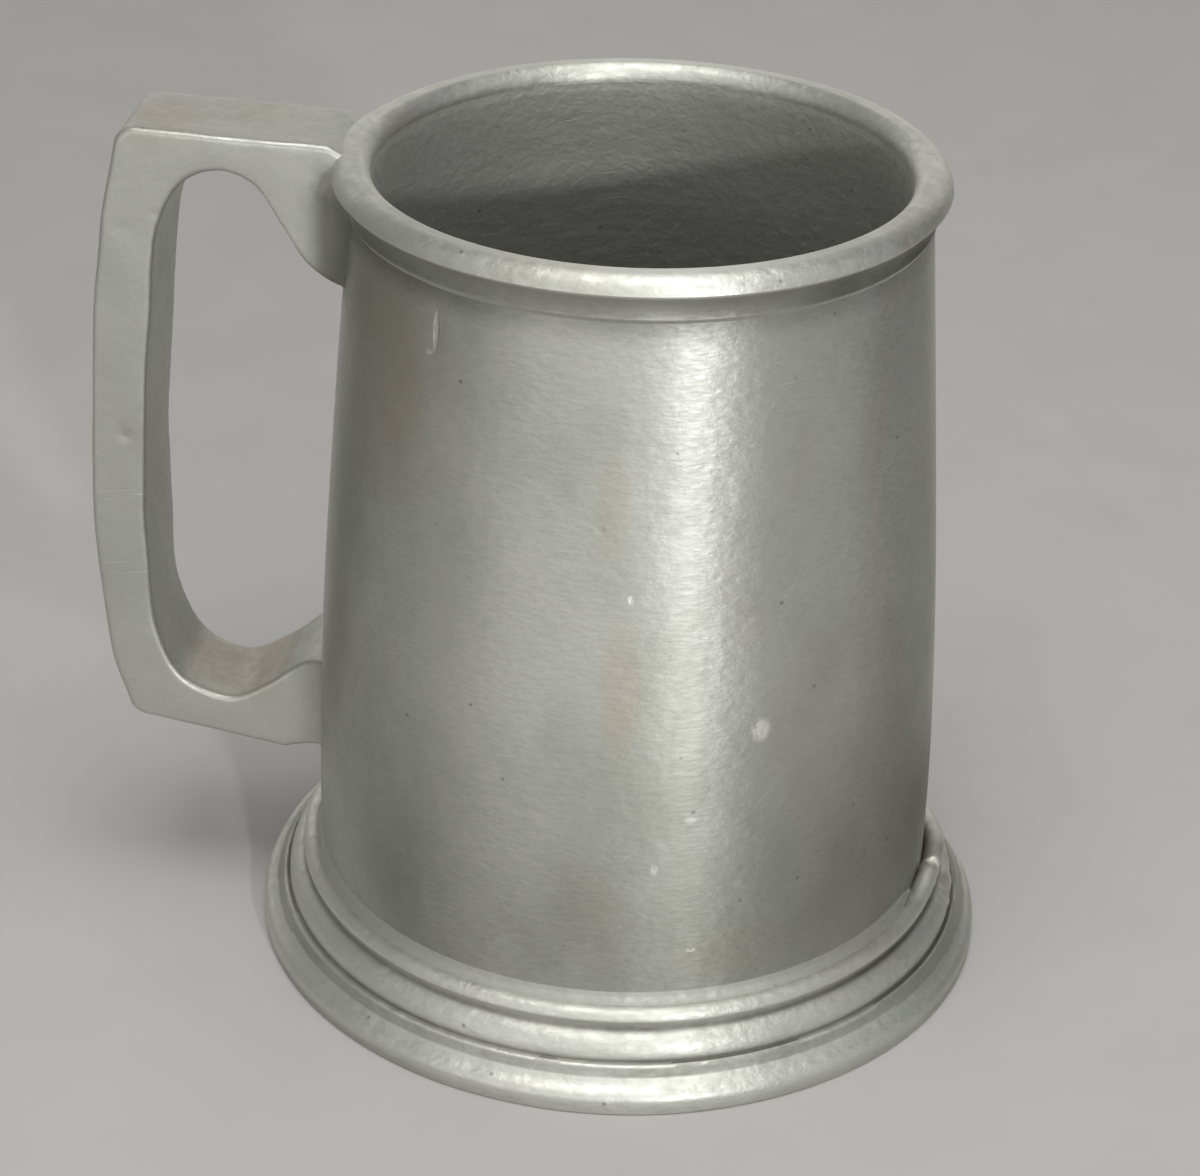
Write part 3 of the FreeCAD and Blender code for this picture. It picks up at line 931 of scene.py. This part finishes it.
def dent_points(points, seed, amplitude):
    """Move points a little by a smooth field in space, so that flat faces look cast and rubbed."""
    rng = np.random.default_rng(seed)
    moved = np.array(points, float)
    for _ in range(DENT_WAVES):
        wave = rng.normal(0, 1, 3)
        wave *= math.tau / (rng.uniform(*DENT_LENGTHS) * np.linalg.norm(wave))
        push = rng.normal(0, 1, 3)
        push /= np.linalg.norm(push)
        moved += np.outer(np.sin(np.array(points) @ wave + rng.uniform(0, math.tau)), push) * amplitude
    return moved


def tube_faces(rings, count):
    """Faces of a closed tube through rings of count points each, capped at both ends."""
    faces = []
    for i in range(rings - 1):
        for j in range(count):
            a, b = i * count + j, i * count + (j + 1) % count
            faces.append((a, b, b + count, a + count))
    faces.append(tuple(reversed(range(count))))
    faces.append(tuple(range((rings - 1) * count, rings * count)))
    return faces


# distance from the axis, height, reach and depth of knocks on the handle's near side, in millimetres
HANDLE_KNOCKS = [
    (72.2, 76.2, 1.0, 0.18),
    (66.1, 110.2, 0.8, 0.10),
    (71.1, 107.9, 1.2, 0.08),
    (39.3, 109.9, 0.6, 0.4),
]


def flare_shade(r, angle, z):
    """Painted shade where the handle's sides sweep out to the barrel, but not on the arm's top."""
    return 0.7 * ramp(46.0, 43.0, r) * ramp(LIP_TOP_Z - 0.8, LIP_TOP_Z - 2.4, z)


def make_handle(material, solder_material):
    """The strap and its two soldered ends, one smooth shape cut into three pieces."""
    strap, first_shares, last_shares = strap_rings()
    upper = joint_rings(first_shares, UPPER_JOIN_S, upper_heights, (LIP_TOP_Z - 7, LIP_TOP_Z - 2))
    lower = joint_rings(last_shares, LOWER_JOIN_S, lower_heights, (LIP_TOP_Z, LIP_TOP_Z + 1))
    # the three pieces are shaded as one, so the bend and the normals come from the whole
    rings = end_rings(upper[-1])[::-1] + upper[::-1] + strap[1:-1] + lower + end_rings(lower[-1])
    count = len(rings[0])
    places = dent_points([(-s, y, z) for ring in rings for s, y, z in ring], SEED + 20, 0.020)
    for s, z, reach, depth in HANDLE_KNOCKS:
        away = ((places[:, 0] + s) ** 2 + (places[:, 2] - z) ** 2) / reach**2
        places[:, 1] += depth * np.exp(-away) * (places[:, 1] < 0)
    whole = bpy.data.meshes.new("handle_whole")
    whole.from_pydata([Vector(p) * MM for p in places], [], tube_faces(len(rings), count))
    work = bmesh.new()
    work.from_mesh(whole)
    bmesh.ops.recalc_face_normals(work, faces=work.faces)
    work.to_mesh(whole)
    work.free()
    bend = curvature(whole)
    normals = np.array([v.normal for v in whole.vertices])
    bpy.data.meshes.remove(whole)

    upper_end = JOINT_STEPS + len(END_SHARES)
    lower_start = len(rings) - 1 - upper_end
    parts = [
        ("upper_joint", 0, upper_end, solder_material, "solder", "upper_handle_solder"),
        ("handle_strap", upper_end, lower_start, material, "pewter", "handle"),
        ("lower_joint", lower_start, len(rings) - 1, solder_material, "solder", "lower_handle_solder"),
    ]
    for name, start, stop, look, slot, node in parts:
        used = slice(start * count, (stop + 1) * count)
        piece = new_piece(name, places[used], tube_faces(stop - start + 1, count), look, [node])
        add_wear(piece, (0.50, 3.2), (0.10, 0.7), bend=bend[used], extra_grime_and_shade=flare_shade)
        piece.data.normals_split_custom_set_from_vertices([tuple(n) for n in normals[used]])


# ------------------------------------------------------------ camera, lights
# found by fitting the photo's ellipses and silhouettes; metres, and a 36 mm sensor
CAMERA_PLACE = Vector((0.03677, -0.38402, 0.26786))
CAMERA_AHEAD = Vector((-0.09306, 0.86882, -0.48631))
CAMERA_RIGHT = Vector((0.99265, 0.11894, 0.02253))
CAMERA_LENS = 90.54
CAMERA_AZIMUTH = math.degrees(math.atan2(CAMERA_PLACE.y, CAMERA_PLACE.x))


def make_camera():
    data = bpy.data.cameras.new("camera")
    data.lens = CAMERA_LENS
    data.sensor_width = 36
    data.clip_start = 0.01
    camera = bpy.data.objects.new("camera", data)
    bpy.context.scene.collection.objects.link(camera)
    ahead = CAMERA_AHEAD.normalized()
    right = (CAMERA_RIGHT - ahead * CAMERA_RIGHT.dot(ahead)).normalized()
    up = right.cross(ahead)
    turn = Matrix((right, up, -ahead)).transposed()
    camera.matrix_world = Matrix.Translation(CAMERA_PLACE) @ turn.to_4x4()
    bpy.context.scene.camera = camera


WHITE = (1, 1, 1)
# name, degrees right of the camera, elevation, distance, width, height, power and tint
LIGHTS = [
    ("lamp", 21.5, 15.9, 1.2, 0.05, 0.06, 5.0, WHITE),
    ("window", -18, 12, 1.0, 1.15, 0.36, 2.6, (1.0, 0.995, 0.97)),
    ("side_window", -66, 13, 1.0, 0.80, 0.40, 0.42, (1.0, 0.99, 0.96)),
    ("right", 70, 15, 1.2, 1.00, 0.60, 1.0, WHITE),
    ("left", -125, 20, 1.2, 0.80, 0.80, 0.5, (1.0, 0.98, 0.93)),
    ("back", 180, 21, 1.2, 1.80, 0.80, 3.6, (1.0, 0.98, 0.94)),
    ("high_left", -68, 42, 1.2, 0.80, 0.50, 0.8, (1.0, 0.99, 0.96)),
    ("high_right", 82, 42, 1.2, 0.80, 0.50, 0.6, WHITE),
    ("overhead", 8, 78, 0.9, 0.60, 0.60, 5.2, (1.0, 0.99, 0.96)),
]
LIGHT_TARGET = Vector((0, 0, 0.06))


def area_light(name, off_camera, elevation, distance, width, height, power, tint):
    """A soft rectangular light aimed at the middle of the tankard."""
    data = bpy.data.lights.new(name, "AREA")
    data.shape = "RECTANGLE"
    data.size, data.size_y = width, height
    data.energy = power
    data.color = tint
    light = bpy.data.objects.new(name, data)
    bpy.context.scene.collection.objects.link(light)
    azimuth, rise = math.radians(CAMERA_AZIMUTH + off_camera), math.radians(elevation)
    back = Vector((math.cos(azimuth) * math.cos(rise), math.sin(azimuth) * math.cos(rise), math.sin(rise)))
    light.location = LIGHT_TARGET + back * distance
    light.rotation_mode = "QUATERNION"
    light.rotation_quaternion = back.to_track_quat("Z", "Y")


def make_stage():
    """A plain pale floor, a dim even surround and the lights."""
    world = bpy.data.worlds.new("studio")
    world.use_nodes = True
    world.node_tree.nodes["Background"].inputs["Color"].default_value = (0.80, 0.82, 0.84, 1)
    world.node_tree.nodes["Background"].inputs["Strength"].default_value = 0.16
    bpy.context.scene.world = world
    bpy.context.scene.view_settings.view_transform = "Standard"

    mesh = bpy.data.meshes.new("ground")
    mesh.from_pydata([(-3, -3, 0), (3, -3, 0), (3, 3, 0), (-3, 3, 0)], [], [(0, 1, 2, 3)])
    ground = bpy.data.objects.new("ground", mesh)
    bpy.context.scene.collection.objects.link(ground)
    s = Shader("pale_ground")
    speck = s.noise(s.stretched((40, 40, 40)), detail=4)
    s.link(s.mix(speck, (0.44, 0.436, 0.426, 1), (0.49, 0.486, 0.474, 1)), s.surface.inputs["Base Color"])
    s.surface.inputs["Roughness"].default_value = 0.9
    mesh.materials.append(s.material)

    for light in LIGHTS:
        area_light(*light)


# ----------------------------------------------------------------- assembly
# marks on the barrel: place, stretch of the mark along X, Y and Z, size and depth in metres, brightness
BARREL_SPOTS = [
    (on_barrel(-124.4, 107.6), (0.16, 0.16, 1.0), 0.0040, 0.00010, 0.55),
    (on_barrel(-125.6, 104.3), (0.55, 0.55, 0.3), 0.0016, 0.00006, 0.45),
    (on_barrel(-90.0, 85.1), (1.0, 1.0, 0.7), 0.0009, 0.00006, 0.00),
    (on_barrel(-84.1, 75.4), (0.6, 0.6, 1.0), 0.0009, 0.00003, 0.80),
    (on_barrel(-60.5, 54.7), (1.0, 1.0, 1.2), 0.0019, 0.00002, 0.90),
    (on_barrel(-78.7, 34.6), (0.6, 0.6, 1.0), 0.0012, 0.00003, 0.35),
    (on_barrel(-72.8, 42.3), (1.0, 1.0, 0.6), 0.0012, 0.00003, 0.35),
    (on_barrel(-72.0, 21.1), (1.0, 1.0, 0.6), 0.0010, 0.00004, 0.40),
]
BARREL_STAINS = [
    (on_barrel(-138.0, 99.0), (1.0, 1.0, 1.4), 0.016, 0.40),
    (on_barrel(-85.5, 62.0), (0.3, 0.3, 1.0), 0.013, 0.40),
    (on_barrel(-88.0, 88.0), (0.3, 0.3, 1.0), 0.010, 0.25),
    (on_barrel(-63.0, 20.0), (1.0, 1.0, 0.5), 0.012, 0.20),
]
HANDLE_STAINS = [
    ((-0.066, -0.002, 0.122), (1.0, 1.0, 0.5), 0.010, 0.35),
    ((-0.052, 0.002, 0.122), (1.0, 1.0, 0.5), 0.008, 0.30),
    ((-0.057, 0.001, 0.037), (1.0, 1.0, 0.5), 0.014, 0.60),
]
EVEN = (800, 800, 800)    # grain with no direction, for metal that has not been turned
spun = pewter("pewter_spun", stains=BARREL_STAINS, spots=BARREL_SPOTS)
inner = pewter(
    "pewter_inside", tone=0.87, grain=(900, 900, 900), rough=0.72, brushed=0.0, tarnish=0.5, relief=3.0
)
turned = pewter(
    "pewter_turned", tone=1.10, grain=(420, 420, 1500), rough=0.51, brushed=0.5, tarnish=0.7, relief=2.4
)
cast = pewter(
    "pewter_cast", tone=0.90, grain=EVEN, rough=0.50, brushed=0.0, tarnish=0.6, relief=0.7,
    stains=HANDLE_STAINS,
)
filed = pewter("solder_filed", tone=0.90, grain=EVEN, rough=0.50, brushed=0.0, tarnish=0.8, relief=0.7)
solder = pewter("solder_scraped", tone=0.78, grain=EVEN, rough=0.54, brushed=0.0, tarnish=0.6, relief=0.8)

make_barrel(spun, inner)
make_lip(turned, inner)
make_foot(turned)
make_floor(spun, inner)
make_handle(cast, filed)

# outlines of the seams: distance out from the joint's radius, height over its foot
seat_r = barrel_radius(LIP_SKIRT_Z)
LIP_SEAM = [(seat_r + out, LIP_SKIRT_Z + up) for out, up in (
    (-0.2, -1.1), (0.16, -0.45), (0.36, 0.05), (-0.2, 0.1))]
FOOT_SEAM = [(BARREL_BASE_R + out, COLLAR_TOP_Z + up) for out, up in (
    (-0.3, -0.7), (0.9, -0.1), (0.45, 0.35), (0.14, 1.2), (-0.15, 2.2))]
FLOOR_SEAM = [(BARREL_BASE_R + out, DISC_LOW_Z + up) for out, up in (
    (0.1, 0.1), (0.1, -1.3), (-1.2, -0.85), (-3.2, 0.1))]
LIP_SEAM_SPAN = (-168, 168)         # degrees from +X; the arm covers the gap
FOOT_SEAM_SPAN = (KINK_AZIMUTH + 15, KINK_AZIMUTH + 352)      # the seam is torn open beyond the kink
make_seam("lip_seam", LIP_SEAM, SEED + 30, 0.05, solder, "lip_solder", *LIP_SEAM_SPAN, (2.5, 6.0))
make_seam("foot_seam", FOOT_SEAM, SEED + 31, 0.06, solder, "foot_solder", *FOOT_SEAM_SPAN)
make_seam("floor_seam", FLOOR_SEAM, SEED + 32, 0.05, solder, "floor_solder")

make_camera()
make_stage()
